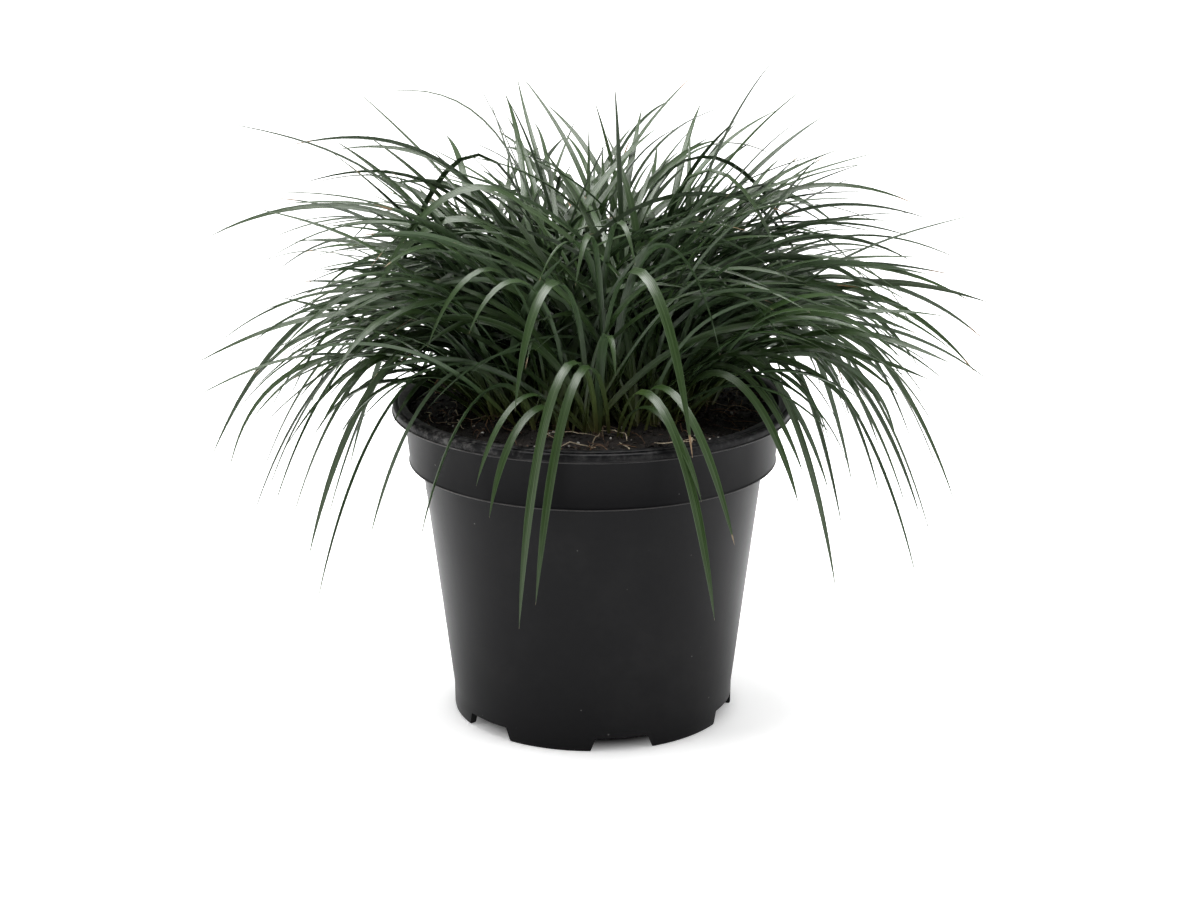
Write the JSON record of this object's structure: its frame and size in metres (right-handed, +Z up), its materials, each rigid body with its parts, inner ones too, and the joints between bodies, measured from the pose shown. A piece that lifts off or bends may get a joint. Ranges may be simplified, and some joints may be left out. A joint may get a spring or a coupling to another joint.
{
  "type": "potted ornamental grass clump",
  "caption": "Dense mop-shaped clump of narrow arching dark-green strap leaves growing in a plain round tapered black nursery pot.",
  "frame": {"origin": "centre of the pot's foot ring, on the surface that the pot stands on", "axes": "+Z up along the pot's axis; -Y towards the viewer's side"},
  "size_m": [0.2648, 0.2648, 0.2225],
  "materials": {
    "pot_plastic": "satin black moulded plastic with fine scuffs and dust",
    "potting_soil": "damp dark peat and bark crumbs with pale root threads",
    "grass_leaf": "satin dark green strap leaf with fine lengthwise veins, paler towards the sheath"
  },
  "bodies": {
    "root": {"pot": "pot_plastic", "soil": "potting_soil", "tuft_heart_01": "grass_leaf", "tuft_inner_01": "grass_leaf", "tuft_inner_02": "grass_leaf", "tuft_inner_03": "grass_leaf", "tuft_inner_04": "grass_leaf", "tuft_inner_05": "grass_leaf", "tuft_inner_06": "grass_leaf", "tuft_outer_01": "grass_leaf", "tuft_outer_02": "grass_leaf", "tuft_outer_03": "grass_leaf", "tuft_outer_04": "grass_leaf", "tuft_outer_05": "grass_leaf", "tuft_outer_06": "grass_leaf", "tuft_outer_07": "grass_leaf", "tuft_outer_08": "grass_leaf", "tuft_outer_09": "grass_leaf", "tuft_outer_10": "grass_leaf", "tuft_outer_11": "grass_leaf", "tuft_outer_12": "grass_leaf"}
  },
  "joints": []
}
